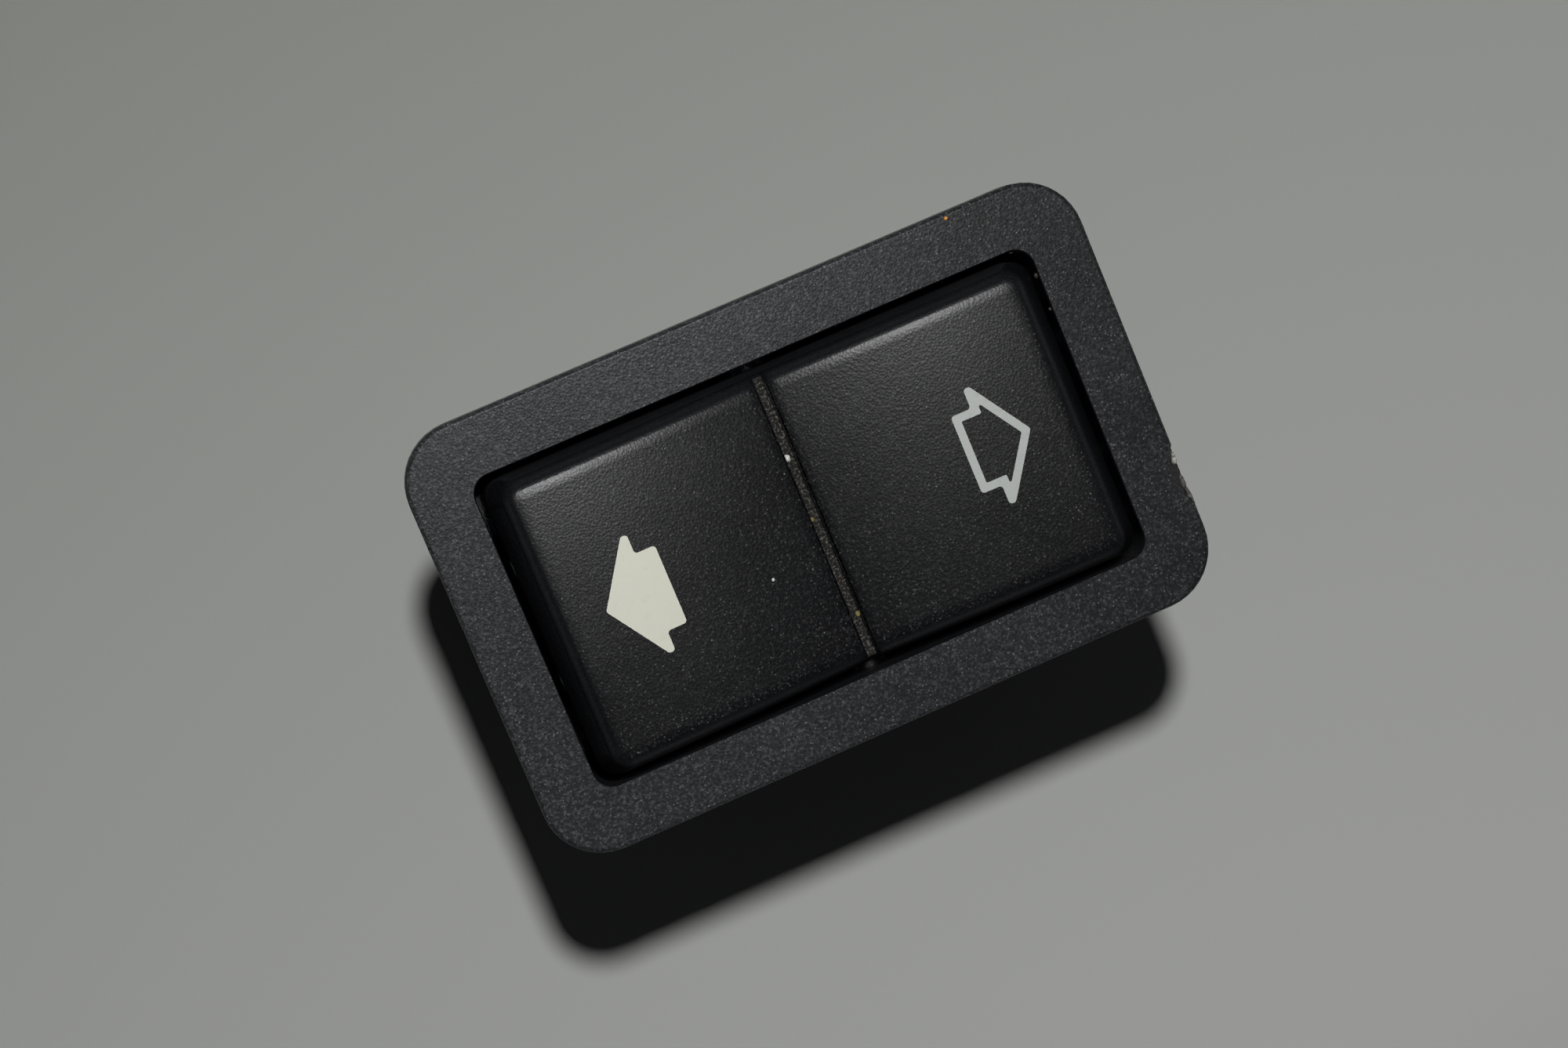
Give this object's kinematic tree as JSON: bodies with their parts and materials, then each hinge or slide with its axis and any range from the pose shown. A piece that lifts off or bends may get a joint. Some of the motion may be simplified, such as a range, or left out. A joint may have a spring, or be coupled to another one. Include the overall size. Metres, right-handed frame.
{
  "type": "power window switch",
  "caption": "Rectangular console rocker switch for a power window: framed housing, tilting rocker with a filled and an outline arrow, see-saw contacts, lamp and plug-in connector base.",
  "frame": {"origin": "middle of the connector rim, on the surface that the switch stands on", "axes": "+X along the long side towards the outline arrow, +Y across the face, +Z out of the face"},
  "size_m": [0.044, 0.0276, 0.0282],
  "materials": {
    "housing_plastic": "matte black moulded plastic with a fine spark-eroded grain",
    "base_plastic": "matte black moulded plastic",
    "rocker_plastic": "matte black moulded plastic with a fine grain, slightly polished by use",
    "filled_arrow_white": "translucent cream white moulded plastic",
    "outline_arrow_white": "translucent greyish white moulded plastic",
    "plunger_plastic": "natural white plastic",
    "spring_steel": "drawn spring wire",
    "strip_bronze": "rolled bronze strip",
    "contact_silver": "silver contact rivet",
    "terminal_brass": "stamped brass",
    "bulb_glass": "clear glass",
    "holder_plastic": "dark grey moulded plastic"
  },
  "bodies": {
    "switch_body": {"housing": "housing_plastic", "base": "base_plastic", "fixed_contacts": "contact_silver", "contact_terminal_front_left": "terminal_brass", "contact_terminal_front_right": "terminal_brass", "contact_terminal_rear_left": "terminal_brass", "contact_terminal_rear_right": "terminal_brass", "fulcrum_terminal_front": "terminal_brass", "fulcrum_terminal_rear": "terminal_brass", "lamp_bulb": "bulb_glass", "lamp_holder": "holder_plastic", "lamp_terminal_left": "terminal_brass", "lamp_terminal_right": "terminal_brass"},
    "rocker": {"rocker_cap": "rocker_plastic", "filled_arrow_lens": "filled_arrow_white", "outline_arrow_lens": "outline_arrow_white", "plunger_spring_front": "spring_steel", "plunger_spring_rear": "spring_steel"},
    "front_plunger": {"plunger_front": "plunger_plastic"},
    "rear_plunger": {"plunger_rear": "plunger_plastic"},
    "front_seesaw": {"contact_strip_front": "strip_bronze", "moving_contacts_front": "contact_silver"},
    "rear_seesaw": {"contact_strip_rear": "strip_bronze", "moving_contacts_rear": "contact_silver"}
  },
  "joints": [
    {"name": "rocker_tilt", "type": "hinge", "parent": "switch_body", "child": "rocker", "pos_m": [0, 0, 0.022], "axis": [0, 1, 0], "range_deg": [-7, 7], "stiffness_Nm_per_rad": 0.4},
    {"name": "front_plunger_slide", "type": "slide", "parent": "rocker", "child": "front_plunger", "axis": [0, 0, 1], "range_m": [0, 0.0006], "stiffness_N_per_m": 500, "springref_m": -0.002, "deforming": ["plunger_spring_front"]},
    {"name": "rear_plunger_slide", "type": "slide", "parent": "rocker", "child": "rear_plunger", "axis": [0, 0, 1], "range_m": [0, 0.0006], "stiffness_N_per_m": 500, "springref_m": -0.002, "deforming": ["plunger_spring_rear"]},
    {"name": "front_seesaw_rock", "type": "hinge", "parent": "switch_body", "child": "front_seesaw", "pos_m": [0, -0.005, 0.0132], "axis": [0, 1, 0], "range_deg": [-5.6, 5.6]},
    {"name": "rear_seesaw_rock", "type": "hinge", "parent": "switch_body", "child": "rear_seesaw", "pos_m": [0, 0.005, 0.0132], "axis": [0, 1, 0], "range_deg": [-5.6, 5.6]}
  ],
  "couplings": [
    {"joint": "front_seesaw_rock", "follows": "rocker_tilt", "ratio": -0.8},
    {"joint": "rear_seesaw_rock", "follows": "rocker_tilt", "ratio": -0.8}
  ]
}
